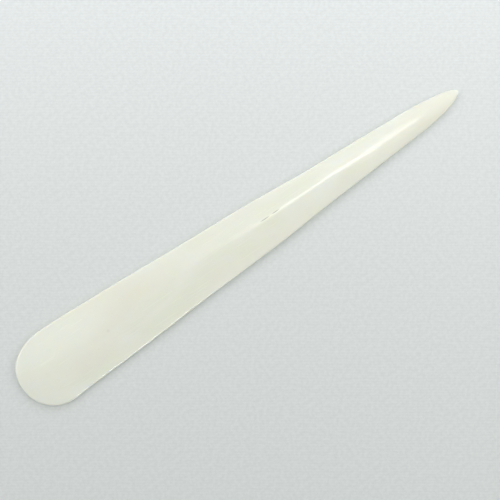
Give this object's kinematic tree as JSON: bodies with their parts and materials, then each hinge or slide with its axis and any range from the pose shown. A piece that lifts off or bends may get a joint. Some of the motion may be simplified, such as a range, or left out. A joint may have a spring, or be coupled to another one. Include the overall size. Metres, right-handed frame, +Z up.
{
  "type": "bone folder",
  "caption": "Slim one-piece blade with a flat underside: a broad round end tapers to a ridged, crowned point, for creasing, scoring and burnishing paper.",
  "frame": {"origin": "on the flat underside, halfway along the length and halfway across the width", "axes": "+X along the blade towards the point, +Y across the blade, +Z up out of the crowned face"},
  "size_m": [0.203, 0.0296, 0.0042],
  "materials": {
    "bone": "polished bone, creamy white, hard and slightly translucent"
  },
  "bodies": {
    "root": {"bone_blade": "bone"}
  },
  "joints": []
}
